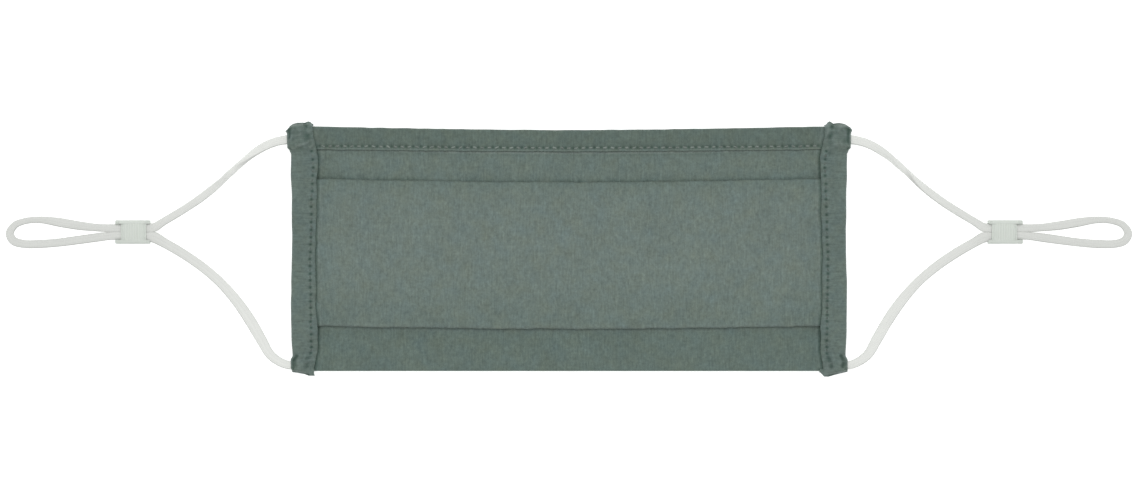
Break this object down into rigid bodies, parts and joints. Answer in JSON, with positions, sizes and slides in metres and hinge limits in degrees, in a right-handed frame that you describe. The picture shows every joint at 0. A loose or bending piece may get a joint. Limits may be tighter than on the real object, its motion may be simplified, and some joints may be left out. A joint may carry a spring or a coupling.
{
  "type": "cloth face mask",
  "caption": "Flat pleated cotton face mask with stitched side casings and elastic ear loops held by ribbed sliding adjusters.",
  "frame": {"origin": "on the surface that the mask lies on, under the middle of the cloth body, measured without the ear loops and adjusters", "axes": "+X across the mask, to the right as seen from the front, +Y towards the nose edge, +Z away from the surface, out of the mask's front"},
  "size_m": [0.4056, 0.0916, 0.0053],
  "materials": {
    "panel_cotton": "matte plain weave",
    "hem_cotton": "matte plain weave, topstitched",
    "elastic": "soft knitted, matte",
    "silicone": "satin, slightly translucent"
  },
  "bodies": {
    "root": {"pleated_panel": "panel_cotton", "top_hem": "hem_cotton", "left_side_hem": "hem_cotton", "right_side_hem": "hem_cotton", "left_ear_loop": "elastic", "right_ear_loop": "elastic", "left_adjuster": "silicone", "right_adjuster": "silicone"}
  },
  "joints": []
}
